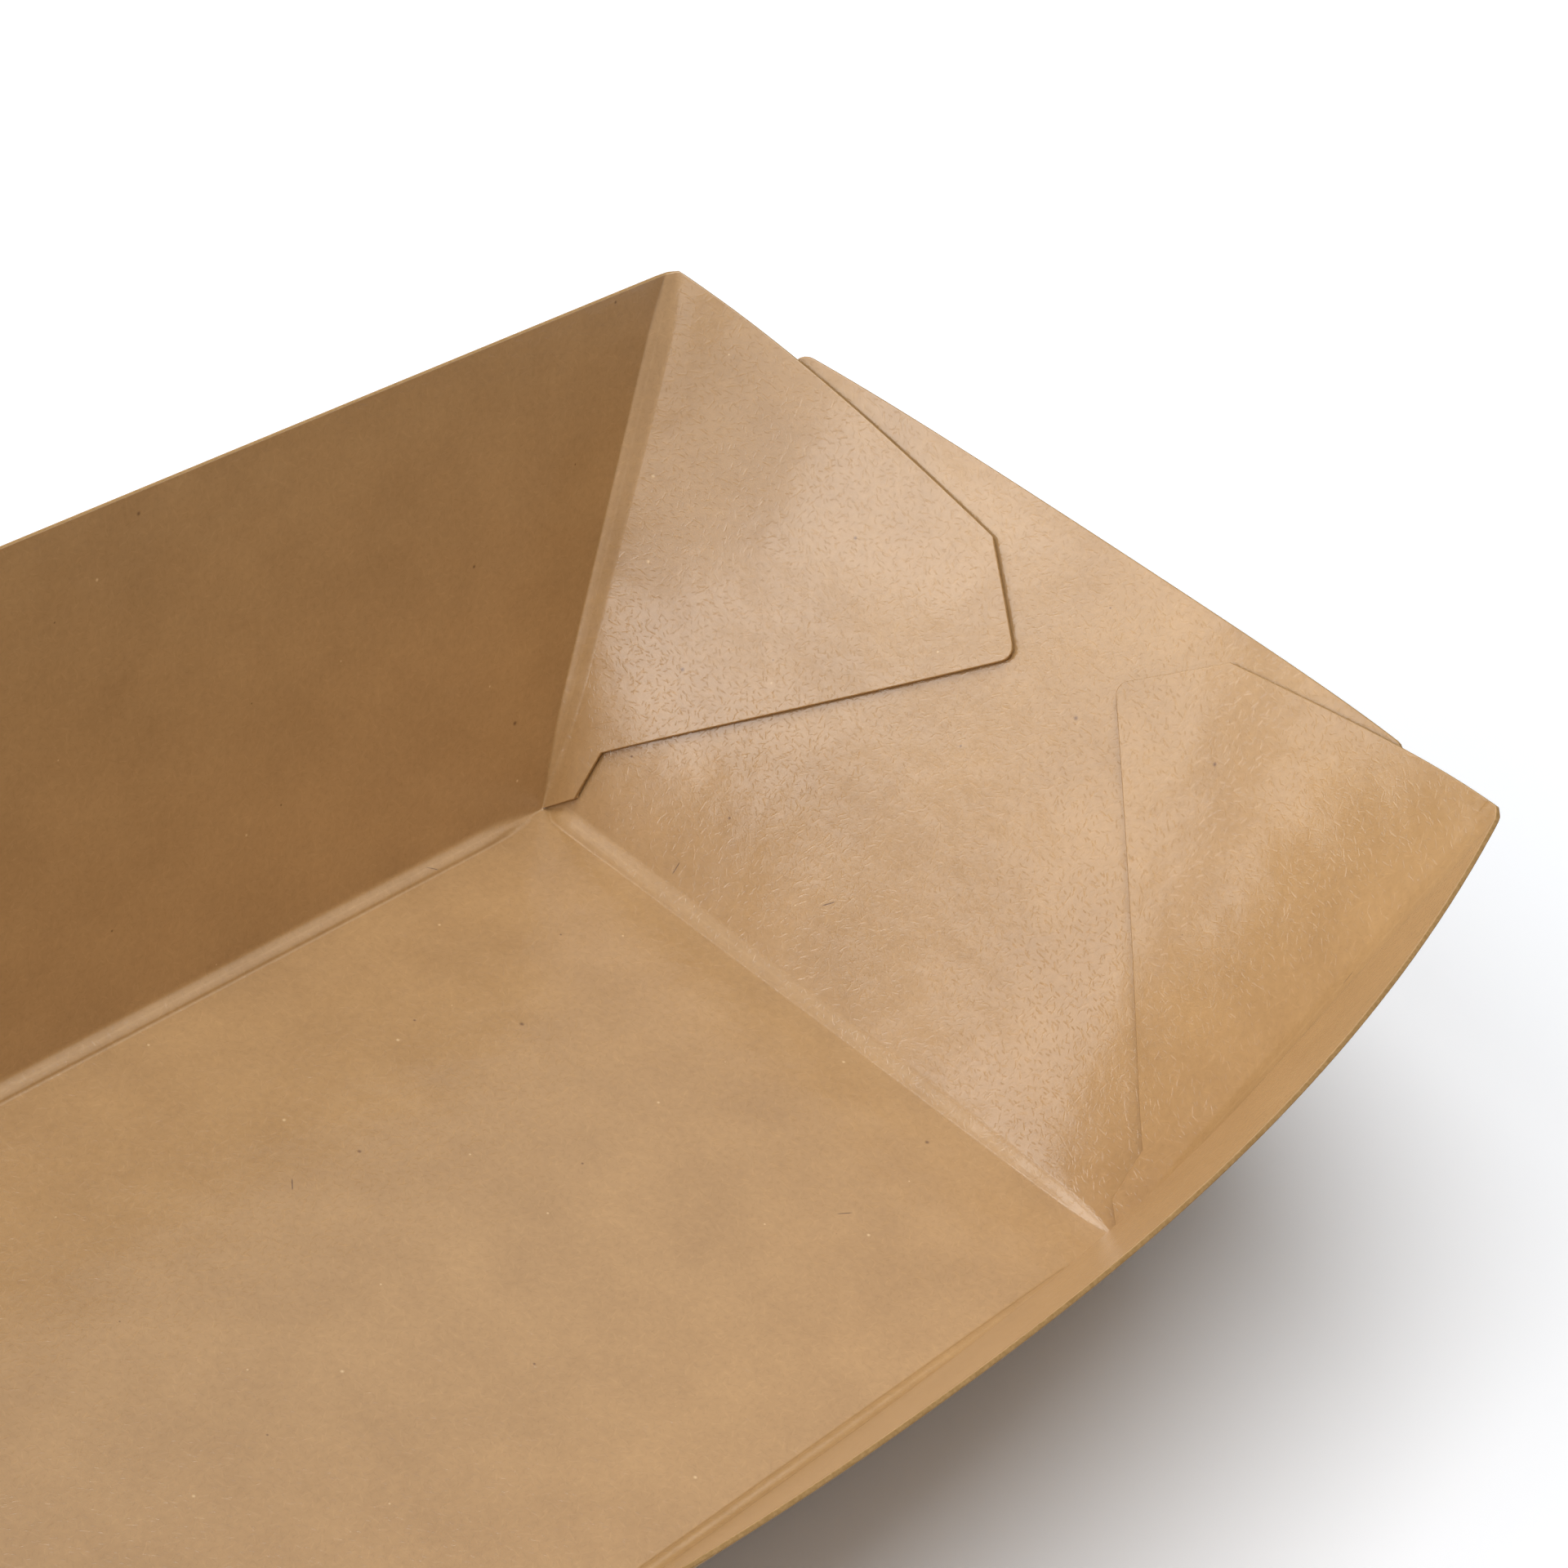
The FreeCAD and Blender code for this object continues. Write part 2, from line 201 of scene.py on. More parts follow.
def side_fold(x, side, on_base, distance):
    """Shifts near the fold between the base and a long wall."""
    lean = side_lean_at(x / FOOT_X, side)
    base = Vector((0, -side, 0)), Vector((0, 0, -1))
    wall = (Vector((0, side * math.sin(lean), math.cos(lean))),
            Vector((0, side * math.cos(lean), -math.sin(lean))))
    (here, out_here), (there, out_there) = (base, wall) if on_base else (wall, base)
    feet = STEEP_FOOT["side"], FLAT_FOOT["side"]
    feet = feet if on_base else feet[::-1]
    size = smooth((FOOT_X - x) / SIDE_FADE)
    return fold_shift(distance, size, here, there, feet, out_here, out_there)


def end_fold(y, on_base, distance):
    """Shifts near the fold between the base and an end wall."""
    lean = end_lean_at(y, 0)
    base = Vector((-1, 0, 0)), Vector((0, 0, -1))
    wall = Vector((math.sin(lean), 0, math.cos(lean))), Vector((math.cos(lean), 0, -math.sin(lean)))
    (here, out_here), (there, out_there) = (base, wall) if on_base else (wall, base)
    feet = STEEP_FOOT["end"], FLAT_FOOT["end"]
    feet = feet if on_base else feet[::-1]
    fade = smooth((END_FOOT - abs(y)) / END_FADE[1 if y > 0 else -1])
    size = fade * (END_BEAD_SIZE + END_BEAD_GROWTH * y / END_FOOT)
    return fold_shift(distance, size, here, there, feet, out_here, out_there)


def corner_fold(slant, side, on_wall, distance):
    """Shifts near the fold between a long wall and its flap."""
    x = half_length(slant * math.cos(SIDE_LEAN))
    up = slant * FOLD_STRETCH
    y, end_slant = flap_place(up, 0)
    corner = long_wall(x, slant, side)
    line = (long_wall(half_length((slant + 1) * math.cos(SIDE_LEAN)), slant + 1, side) - corner).normalized()
    pairs = []
    nearby = 0.1
    for beside in (long_wall(x - nearby, slant, side), end_face(side * (y - nearby), end_slant)):
        away = beside - corner
        away = (away - line * away.dot(line)).normalized()
        out = away.cross(line).normalized()
        if out.dot(Vector((1, side, 0))) < 0:
            out = -out
        pairs.append((away, out))
    (here, out_here), (there, out_there) = pairs if on_wall else pairs[::-1]
    top = CORNER_TOP_SIZE + (1 - CORNER_TOP_SIZE) * smooth((CORNER_TOP - up) / CORNER_TOP_FADE)
    size = smooth(up / CORNER_FOOT_FADE) * top
    feet = CORNER_FEET[side] if on_wall else CORNER_FEET[side][::-1]
    return fold_shift(distance, size, here, there, feet, out_here, out_there)


def flap_place(up, in_from_fold):
    """Place on the flat end, across the tray and up the board, of a point of the +Y flap."""
    return (FOOT_Y + up * math.sin(FOLD_TILT) - in_from_fold * math.cos(FOLD_TILT),
            up * math.cos(FOLD_TILT) + in_from_fold * math.sin(FOLD_TILT))


# Distances from a fold at which the sheet is divided: close together over the bead, wider beyond it.
BEAD_STEPS = [0.15 * n for n in range(12)]
BEAD_GAP = 0.4
PANEL_STEP = 1.6
FLAP_STEP = 1.2


def stations(length, step=PANEL_STEP):
    """Distances from a fold out to the far edge of its panel."""
    start = BEAD_STEPS[-1] + BEAD_GAP
    count = max(1, round((length - start) / step))
    return BEAD_STEPS + [start + (length - start) * n / count for n in range(count + 1)]


# Each point of the sheet also keeps its outer face, its place on the flat blank, and its wear.
sheet = bmesh.new()


def sheet_layers(mesh):
    vectors, numbers = mesh.verts.layers.float_vector, mesh.verts.layers.float
    return (vectors.get("outer") or vectors.new("outer"), vectors.get("flat") or vectors.new("flat"),
            numbers.get("worn") or numbers.new("worn"))


sheet_layers(sheet)


def add_panel(columns, rows, fold_up, outline=None, **where):
    """Flat panel divided at the given columns and rows, cut to its outline and folded up into place.

    where goes on to fold_up, and tells it which wall or flap this is.
    """
    panel = bmesh.new()
    outer, flat, worn = sheet_layers(panel)
    grid = bmesh.ops.create_grid(panel, x_segments=len(columns) - 1, y_segments=len(rows) - 1, size=1)
    for vert in grid["verts"]:
        column = round((vert.co.x + 1) / 2 * (len(columns) - 1))
        row = round((vert.co.y + 1) / 2 * (len(rows) - 1))
        vert.co = columns[column], rows[row], 0
    if outline:
        die_cut(panel, outline)
    for vert in panel.verts:
        vert.co, vert[outer], vert[flat], vert[worn] = fold_up(vert.co.x, vert.co.y, **where)
    folded_panel = bpy.data.meshes.new("folded_panel")
    panel.to_mesh(folded_panel)
    panel.free()
    sheet.from_mesh(folded_panel)
    bpy.data.meshes.remove(folded_panel)


def inside(outline, x, y):
    """Whether a point lies inside an outline, by counting the sides to its right."""
    crossings = 0
    for (x1, y1), (x2, y2) in zip(outline, outline[1:] + outline[:1]):
        if (y1 > y) != (y2 > y) and x < x1 + (y - y1) * (x2 - x1) / (y2 - y1):
            crossings += 1
    return crossings % 2 == 1


# What counts as on a line when the sheet is cut. A point nearer than the weld to a cut edge joins it, so that
# no face beside the edge is a sliver.
ON_LINE = 1e-5
SLACK = 1e-6
CUT_SNAP = 1e-4
CUT_WELD = 0.14


def die_cut(panel, outline):
    """Cut a flat panel along each side of an outline and drop what is outside."""
    for (x1, y1), (x2, y2) in zip(outline, outline[1:] + outline[:1]):
        start, side = Vector((x1, y1, 0)), Vector((x2 - x1, y2 - y1, 0))
        normal = Vector((side.y, -side.x, 0)).normalized()
        near = []
        for face in panel.faces:
            beside = [(vert.co - start).dot(side) / side.length_squared for vert in face.verts]
            apart = [(vert.co - start).dot(normal) for vert in face.verts]
            crossed = min(apart) < ON_LINE < max(apart) + 2 * ON_LINE
            if crossed and max(beside) > -SLACK and min(beside) < 1 + SLACK:
                near.append(face)
        geom = near + list({edge for face in near for edge in face.edges})
        geom += list({vert for face in near for vert in face.verts})
        bmesh.ops.bisect_plane(panel, geom=geom, dist=CUT_SNAP, plane_co=start, plane_no=normal)
    outside = []
    for face in panel.faces:
        middle = face.calc_center_median()
        if not inside(outline, middle.x, middle.y):
            outside.append(face)
    bmesh.ops.delete(panel, geom=outside, context="FACES")
    rim = [vert for vert in panel.verts if vert.is_boundary]
    doubles = bmesh.ops.find_doubles(panel, verts=panel.verts[:], keep_verts=rim, dist=CUT_WELD)
    bmesh.ops.weld_verts(panel, targetmap=doubles["targetmap"])


def rounded(before, corner, after, radius, steps=5):
    """Points of a rounded corner between two straight sides."""
    corner = Vector(corner)
    one, two = (Vector(before) - corner).normalized(), (Vector(after) - corner).normalized()
    half = one.angle(two) / 2
    centre = corner + (one + two).normalized() * radius / math.sin(half)
    start = corner + one * radius / math.tan(half) - centre
    stop = corner + two * radius / math.tan(half) - centre
    total = start.angle_signed(stop)
    points = []
    for n in range(steps + 1):
        arm = start.copy()
        arm.rotate(Matrix.Rotation(-total * n / steps, 2))
        points.append(tuple(centre + arm))
    return points


# Base: half of it, from the middle of the tray to the corner folds, and the strip that runs on to the end
# fold. Beyond the foot, x is counted so that the strip is 1 across, whatever its real width there.

across_half = [FOOT_Y - d for d in stations(FOOT_Y)]
across_base = sorted(across_half[:-1] + [-y for y in across_half[:-1]] + [0])
along_base = [FOOT_X - d for d in reversed(stations(FOOT_X))]


def fold_base(x, y):
    side = 1 if y > 0 else -1
    beyond = (BOARD + GLUE) / math.cos(end_lean_at(y, 0))
    if x > FOOT_X:
        x = FOOT_X + beyond * (x - FOOT_X)
    inner, outer, flat, worn = Vector((x, y, BOARD)), Vector((x, y, 0)), Vector((x, y, 0)), 0
    shifts = [side_fold(x, side, True, FOOT_Y - abs(y))] if x <= FOOT_X else []
    if abs(y) < END_FOOT + SLACK:
        shifts.append(end_fold(y, True, FOOT_X + beyond - x))
    for inner_shift, outer_shift, wear in shifts:
        inner += inner_shift
        outer += outer_shift
        worn = max(worn, wear)
    return inner, outer, flat, worn


add_panel(along_base, across_base, fold_base)
tab = [y for y in across_base if abs(y) < END_FOOT + SLACK]
add_panel([FOOT_X, FOOT_X + 0.5, FOOT_X + 1], tab, fold_base)

# Long walls: each widens from its foot to its rim, and all of that is taken up before the last strip at the
# corner fold, so that the bead there keeps its form.

CORNER_STRIP = 2


def rim_slant(place, side):
    """Length of the board from fold to rim at a place along the wall, 0 in the middle and 1 at the corner."""
    dip = SIDE_DIP[side] * (1 - abs(place) ** BOW_FULLNESS[side])
    return (RISE - dip) / math.cos(side_lean_at(place, side))


def fold_long_wall(foot_x, slant, side):
    """foot_x is the place along the foot of the wall."""
    half = half_length(slant * math.cos(SIDE_LEAN))
    x = foot_x + (half - FOOT_X) * min(1, foot_x / (FOOT_X - CORNER_STRIP))
    slant_here = slant * rim_slant(x / half, side) / SIDE_SLANT
    point = long_wall(x, slant_here, side)
    outer = point + outward(long_wall, x, slant_here, side) * BOARD
    flat, worn = Vector((x, side * (FOOT_Y + slant), 0)), 0
    from_corner = (half - x) * math.cos(CORNER_SPLAY)
    for inner_shift, outer_shift, wear in (side_fold(x, side, False, slant_here),
                                           corner_fold(slant, side, True, from_corner)):
        point += inner_shift
        outer += outer_shift
        worn = max(worn, wear)
    return point, outer, flat, worn


for side in (-1, 1):
    add_panel(along_base, stations(SIDE_SLANT), fold_long_wall, side=side)

# Glue flaps: each hangs on a corner fold and lies against the inside of the end wall. The glue stops short
# of the free edges, which spring off the wall a little.

EDGE_SPRING = 0.24
GLUED_IN = 16
SPRING_START = 3

# Corners of a flap's free edge as it is cut, from its foot to its tip: up along the corner fold, and in from
# it. The skew turns the free edges of both flaps of an end the same way round, and leaves their folds alone.
# The peak, where the free edge meets the rim, is not turned, and is given in from the fold and up along it.
FLAP_SKEW = math.radians(-2.9)
TOE, HEEL, NOSE, TIP = (2.6, 3.5), (7.5, 4.6), (30.08, 37.89), (39.08, 31.59)
NOSE_RADIUS = 1.2
PEAK = (0.7, CORNER_TOP + 0.3)
FLAP_REACH = 42


def flap_corner(corner, side):
    """A corner of the free edge after the skew, on the flat flap: in from its fold, and up along it."""
    up, in_from_fold = corner
    tilt = FOLD_TILT + FLAP_SKEW * side
    y = BASE_WIDTH / 2 + up * math.sin(tilt) - in_from_fold * math.cos(tilt) - FOOT_Y
    slant = up * math.cos(tilt) + in_from_fold * math.sin(tilt) - BOARD / math.cos(END_LEAN)
    return (-y * math.cos(FOLD_TILT) + slant * math.sin(FOLD_TILT),
            y * math.sin(FOLD_TILT) + slant * math.cos(FOLD_TILT))


def to_edge(x, y, edge):
    """Distance from a point of the flat flap to its free edge."""
    place, nearest = Vector((x, y)), math.inf
    for start, stop in zip(edge, edge[1:]):
        start, run = Vector(start), Vector(stop) - Vector(start)
        share = min(max((place - start).dot(run) / run.length_squared, 0), 1)
        nearest = min(nearest, (place - start - run * share).length)
    return nearest


def fold_flap(in_from_fold, up, side, free_edge):
    y, slant = flap_place(up, in_from_fold)
    point = end_face(side * y, slant)
    out = outward(end_face, side * y, slant)
    spring = 1 - smooth(to_edge(in_from_fold, up, free_edge) / GLUED_IN)
    spring *= smooth(in_from_fold / SPRING_START)
    point -= out * EDGE_SPRING * spring
    outer = point + out * BOARD
    inner_shift, outer_shift, worn = corner_fold(up / FOLD_STRETCH, side, False, in_from_fold)
    along = FOOT_X + up * math.sin(CORNER_SPLAY) + in_from_fold * math.cos(CORNER_SPLAY)
    across = FOOT_Y + up * math.cos(CORNER_SPLAY) - in_from_fold * math.sin(CORNER_SPLAY)
    return point + inner_shift, outer + outer_shift, Vector((along, side * across, 0)), worn


# The rows go on a little past the top of the fold, where the outline then cuts them off.
flap_rows = [slant * FOLD_STRETCH for slant in stations(SIDE_SLANT)]
flap_rows += [CORNER_TOP + 0.8, CORNER_TOP + 1.6]
for side in (-1, 1):
    toe, heel, nose, tip = (flap_corner(corner, side) for corner in (TOE, HEEL, NOSE, TIP))
    free_edge = [toe, heel] + rounded(heel, nose, tip, NOSE_RADIUS) + [tip, PEAK]
    outline = [(0, 0)] + free_edge + [(0, CORNER_TOP)]
    add_panel(stations(FLAP_REACH, FLAP_STEP), flap_rows, fold_flap, outline, side=side, free_edge=free_edge)

# End wall: a tongue on the outside of the flaps, a little narrower at its rim than at its foot.

END_RIM_DROP = 0.62
END_SLANT = WALL_RISE / math.cos(END_LEAN) - END_RIM_DROP - (2 * BOARD + GLUE) / math.cos(END_LEAN)
END_FLARE = -0.9
END_CORNER = 1.2
WALL_EASE = 3.0


def flare(slant):
    """Width of the tongue at a height, as a share of its width at the foot."""
    return 1 + END_FLARE / END_FOOT * slant / END_SLANT


def on_end_wall(y, slant):
    """Inner and outer point of the end wall, one board and a line of glue outside the flaps, and its wear."""
    lift = (BOARD + GLUE) * math.tan(end_lean_at(y, 0))
    out = outward(end_face, y, slant + lift)
    point = end_face(y, slant + lift) + out * (BOARD + GLUE)
    inner_shift, outer_shift, worn = end_fold(y / flare(slant), False, slant)
    return point + inner_shift, point + out * BOARD + outer_shift, worn


def fold_end_wall(foot_y, slant):
    """The wall starts exactly on the edge of the base's strip, and eases from there on to its own curve.

    foot_y is the place along the foot of the wall. The first row has to meet the strip to within FOLD_WELD,
    since a fold that isn't welded becomes a slit when the sheet gets its thickness.
    """
    inner, outer, worn = on_end_wall(foot_y * flare(slant), slant)
    strip_inner, strip_outer, strip_flat, _ = fold_base(FOOT_X + 1, foot_y)
    foot_inner, foot_outer, _ = on_end_wall(foot_y, 0)
    ease = smooth(1 - slant / WALL_EASE)
    return (inner + (strip_inner - foot_inner) * ease, outer + (strip_outer - foot_outer) * ease,
            Vector((strip_flat.x + slant, foot_y * flare(slant), 0)), worn)


rim_left, rim_right = (-END_FOOT, END_SLANT), (END_FOOT, END_SLANT)
tongue = [(-END_FOOT, 0), (END_FOOT, 0)]
tongue += rounded(tongue[1], rim_right, rim_left, END_CORNER)
tongue += rounded(rim_right, rim_left, tongue[0], END_CORNER)
add_panel(tab, stations(END_SLANT), fold_end_wall, tongue)

# Join the panels along their folds, mirror them to the other end, and give the sheet its thickness. A fold's
# two rows of points lie within the weld of each other.

FOLD_WELD = 0.004
MIRROR_WELD = 0.001
ON_MIDDLE = 0.01
EDGE_ROUND = 0.09
MILLIMETRE = 0.001

bmesh.ops.remove_doubles(sheet, verts=sheet.verts[:], dist=FOLD_WELD)
outer, flat, worn = sheet_layers(sheet)
for vert in sheet.verts:
    if abs(vert.co.x) < ON_MIDDLE:
        vert.co.x = 0
        vert[outer] = (0, vert[outer].y, vert[outer].z)
bmesh.ops.mirror(sheet, geom=sheet.verts[:] + sheet.edges[:] + sheet.faces[:], axis="X",
                 merge_dist=MIRROR_WELD)
for vert in sheet.verts:
    for layer in (outer, flat):
        x, y, z = vert[layer]
        vert[layer] = (math.copysign(x, vert.co.x), y, z)
bmesh.ops.recalc_face_normals(sheet, faces=sheet.faces[:])
inner_verts = set(sheet.verts)
bmesh.ops.extrude_face_region(sheet, geom=sheet.faces[:], use_keep_orig=True)
for vert in sheet.verts:
    if vert not in inner_verts:
        vert.co = vert[outer]

# The cut edges are rounded a little. The rounding's borders stay sharp, so that it doesn't shade the faces.
INSIDE, OUTSIDE, CUT = 0, 1, 2
for face in sheet.faces:
    face.smooth = True
    on_inside = [vert in inner_verts for vert in face.verts]
    face.material_index = INSIDE if all(on_inside) else CUT if any(on_inside) else OUTSIDE
rims = [edge for edge in sheet.edges
        if {face.material_index for face in edge.link_faces} in ({INSIDE, CUT}, {OUTSIDE, CUT})]
bmesh.ops.recalc_face_normals(sheet, faces=sheet.faces[:])
rounding = bmesh.ops.bevel(sheet, geom=rims, offset=EDGE_ROUND, segments=2, profile=0.5, affect="EDGES",
                           material=-1, clamp_overlap=False)
rounding_faces = set(rounding["faces"])
for face in rounding_faces:
    for edge in face.edges:
        edge.smooth = all(beside in rounding_faces for beside in edge.link_faces)
for vert in sheet.verts:
    vert.co.z = max(vert.co.z, 0)
bmesh.ops.scale(sheet, vec=(MILLIMETRE, MILLIMETRE, MILLIMETRE), verts=sheet.verts[:])
sheet_mesh = bpy.data.meshes.new("folded_sheet")
sheet.to_mesh(sheet_mesh)
sheet.free()
folded_sheet = bpy.data.objects.new("folded_sheet", sheet_mesh)
bpy.context.collection.objects.link(folded_sheet)


# Finishes of the board. Their patterns are laid out in millimetres on the flat blank, as the pulp was.

BLANK = "flat"
WEAR = "worn"


def linear(value):
    """Linear colour of an sRGB hex value."""
    parts = [int(value[n:n + 2], 16) / 255 for n in (1, 3, 5)]
    return [part / 12.92 if part <= 0.04045 else ((part + 0.055) / 1.055) ** 2.4 for part in parts] + [1]


def add_node(tree, kind, sockets, **settings):
    """Add a node with its settings, and give each named socket a value or another node's output."""
    node = tree.nodes.new("ShaderNode" + kind)
    for name, value in settings.items():
        setattr(node, name, value)
    for name, value in sockets.items():
        if isinstance(value, bpy.types.NodeSocket):
            tree.links.new(value, node.inputs[name])
        else:
            node.inputs[name].default_value = value
    return node


STRAND_BEND = 0.25


def pulp_strands(tree, place, spacing, length, width):
    """Mask of short bent fibres that lie in all directions, one to each cell of the given spacing."""
    spread = add_node(tree, "VectorMath", {0: place, "Scale": 1 / spacing}, operation="SCALE").outputs[0]
    cell = add_node(tree, "TexVoronoi", {"Vector": spread, "Scale": 1}, voronoi_dimensions="2D")
    away = add_node(tree, "VectorMath", {0: spread, 1: cell.outputs["Position"]},
                    operation="SUBTRACT").outputs[0]
    chance = add_node(tree, "SeparateColor", {0: cell.outputs["Color"]})
    heading = add_node(tree, "Math", {0: chance.outputs[0], 1: math.tau}, operation="MULTIPLY").outputs[0]
    turned = add_node(tree, "VectorRotate", {"Vector": away, "Angle": heading},
                      rotation_type="Z_AXIS").outputs[0]
    axes = add_node(tree, "SeparateXYZ", {0: turned})
    along, beside = axes.outputs[0], axes.outputs[1]
    squared = add_node(tree, "Math", {0: along, 1: along}, operation="MULTIPLY").outputs[0]
    bend = add_node(tree, "MapRange", {0: chance.outputs[1], 3: -STRAND_BEND, 4: STRAND_BEND}).outputs[0]
    bowed = add_node(tree, "Math", {0: squared, 1: bend, 2: beside}, operation="MULTIPLY_ADD").outputs[0]
    apart = add_node(tree, "Math", {0: bowed}, operation="ABSOLUTE").outputs[0]
    reach = add_node(tree, "Math", {0: along}, operation="ABSOLUTE").outputs[0]
    body = add_node(tree, "MapRange", {0: apart, 1: width / spacing, 2: 0, 3: 0, 4: 1},
                    interpolation_type="SMOOTHSTEP").outputs[0]
    tip, shoulder = length / spacing / 2, length / spacing / 4
    ends = add_node(tree, "MapRange", {0: reach, 1: tip, 2: shoulder, 3: 0, 4: 1},
                    interpolation_type="SMOOTHSTEP").outputs[0]
    return add_node(tree, "Math", {0: body, 1: ends}, operation="MULTIPLY").outputs[0]


def pulp_specks(tree, place, spacing, size):
    """Mask of small specks in the pulp, at most one to each cell of the given spacing."""
    spread = add_node(tree, "VectorMath", {0: place, "Scale": 1 / spacing}, operation="SCALE").outputs[0]
    cell = add_node(tree, "TexVoronoi", {"Vector": spread, "Scale": 1}, voronoi_dimensions="2D")
    chance = add_node(tree, "SeparateColor", {0: cell.outputs["Color"]})
    radius = add_node(tree, "Math", {0: chance.outputs[0], 1: size / spacing},
                      operation="MULTIPLY").outputs[0]
    return add_node(tree, "MapRange", {0: cell.outputs["Distance"], 1: radius, 2: 0, 3: 0, 4: 1},
                    interpolation_type="SMOOTHSTEP").outputs[0]


# Colours of the pulp, from its dark clouds to its pale ones, and of what lies in it and on its folds.
DARK_PULP, PALE_PULP = "#A07B4C", "#BB9461"
DARK_SPECK, SHIVE, PALE_SPECK, WORN_FOLD = "#6E4A26", "#5E3F20", "#D9B98A", "#CDAA7B"
FIBRE_CONTRAST = 0.10
FLECK_SHARE = 0.35

# Sizes of the patterns across the board, in millimetres. The fibres are drawn thicker than real ones, which
# would be too fine to show.
CLOUD_SIZE, FLECK_SIZE, CRACK_SIZE, HILL_SIZE = 10, 0.7, 1.6, 6

# Heights of the relief, in metres. A coating hides most of the fibres' height. Flecks are given as a share of
# the height of a fibre.
COATED_FIBRES, BARE_FIBRES, HILLS = 0.000008, 0.00003, 0.00012
FLECK_HEIGHT = 1.6


def kraft_board(name, offset, fibre_height):
    """Natural kraft: brown pulp with cloudy formation, short fibres, a few specks, and pale worn folds.

    offset moves the pattern, in millimetres, so that the two faces of the board differ.
    """
    material = bpy.data.materials.new(name)
    material.use_nodes = True
    tree = material.node_tree
    shader = tree.nodes["Principled BSDF"]
    blank = add_node(tree, "Attribute", {}, attribute_name=BLANK).outputs["Vector"]
    place = add_node(tree, "VectorMath", {0: blank, 1: offset}, operation="ADD").outputs[0]

    # Tone: broad clouds mixed with flecks, then coarse fibres that are paler and fine ones that are darker.
    clouds = add_node(tree, "TexNoise", {"Vector": place, "Scale": 1 / CLOUD_SIZE, "Detail": 6,
                                         "Roughness": 0.6}).outputs[0]
    flecks = add_node(tree, "TexNoise", {"Vector": place, "Scale": 1 / FLECK_SIZE, "Detail": 2,
                                         "Roughness": 0.6}).outputs[0]
    coarse = pulp_strands(tree, place, spacing=1.1, length=1.0, width=0.1)
    shifted = add_node(tree, "VectorMath", {0: place, 1: (31, 17, 0)}, operation="ADD").outputs[0]
    fine = pulp_strands(tree, shifted, spacing=0.62, length=0.55, width=0.08)
    tone = add_node(tree, "Mix", {0: FLECK_SHARE, 2: clouds, 3: flecks}).outputs[0]
    for fibres, contrast in ((coarse, FIBRE_CONTRAST), (fine, -FIBRE_CONTRAST)):
        tone = add_node(tree, "Math", {0: fibres, 1: contrast, 2: tone}, operation="MULTIPLY_ADD").outputs[0]
    pulp = add_node(tree, "ValToRGB", {0: tone})
    dark_end, pale_end = pulp.color_ramp.elements
    dark_end.position, dark_end.color = 0.25, linear(DARK_PULP)
    pale_end.position, pale_end.color = 0.75, linear(PALE_PULP)

    # Colour: specks and shives lie in the pulp, and the surface is cracked and pale along the folds.
    wear = add_node(tree, "Attribute", {}, attribute_name=WEAR).outputs["Fac"]
    cracks = add_node(tree, "TexNoise", {"Vector": place, "Scale": 1 / CRACK_SIZE, "Detail": 4,
                                         "Roughness": 0.7}).outputs[0]
    worn = add_node(tree, "Math", {0: wear, 1: cracks}, operation="MULTIPLY").outputs[0]
    worn = add_node(tree, "MapRange", {0: worn, 1: 0.3, 2: 0.8, 3: 0, 4: 0.35}).outputs[0]
    brown = pulp.outputs[0]
    for mask, colour in ((pulp_specks(tree, place, spacing=19, size=0.32), DARK_SPECK),
                         (pulp_strands(tree, shifted, spacing=47, length=1.5, width=0.09), SHIVE),
                         (pulp_specks(tree, shifted, spacing=15, size=0.24), PALE_SPECK),
                         (worn, WORN_FOLD)):
        brown = add_node(tree, "Mix", {0: mask, 6: brown, 7: linear(colour)}, data_type="RGBA").outputs[2]
    tree.links.new(brown, shader.inputs["Base Color"])

    # Relief: fibres and flecks stand up a little, on a board that isn't quite flat.
    relief = add_node(tree, "Math", {0: coarse, 1: fine}, operation="ADD").outputs[0]
    relief = add_node(tree, "Math", {0: flecks, 1: FLECK_HEIGHT, 2: relief},
                      operation="MULTIPLY_ADD").outputs[0]
    hills = add_node(tree, "TexNoise", {"Vector": place, "Scale": 1 / HILL_SIZE, "Detail": 2}).outputs[0]
    gentle = add_node(tree, "Bump", {"Distance": HILLS, "Height": hills}).outputs[0]
    fibrous = add_node(tree, "Bump", {"Distance": fibre_height, "Height": relief,
                                      "Normal": gentle}).outputs[0]
    return material, shader, gentle, fibrous


# Inside: kraft with a thin satin barrier coating, which softens the fibres and gives a broad pale sheen.
coated_kraft, shader, gentle, fibrous = kraft_board("satin_coated_kraft_board", (0, 0, 0), COATED_FIBRES)
coated_kraft.node_tree.links.new(gentle, shader.inputs["Normal"])
coated_kraft.node_tree.links.new(fibrous, shader.inputs["Coat Normal"])
shader.inputs["Roughness"].default_value = 0.6
shader.inputs["IOR"].default_value = 1.5
shader.inputs["Coat Weight"].default_value = 1.0
shader.inputs["Coat Roughness"].default_value = 0.16
shader.inputs["Coat IOR"].default_value = 1.5

# Outside: the same board left bare, so it is dry and matt and its fibres stand out more.
bare_kraft, shader, gentle, fibrous = kraft_board("uncoated_kraft_board", (400, 250, 60), BARE_FIBRES)
bare_kraft.node_tree.links.new(fibrous, shader.inputs["Normal"])
shader.inputs["Roughness"].default_value = 0.82
shader.inputs["IOR"].default_value = 1.5

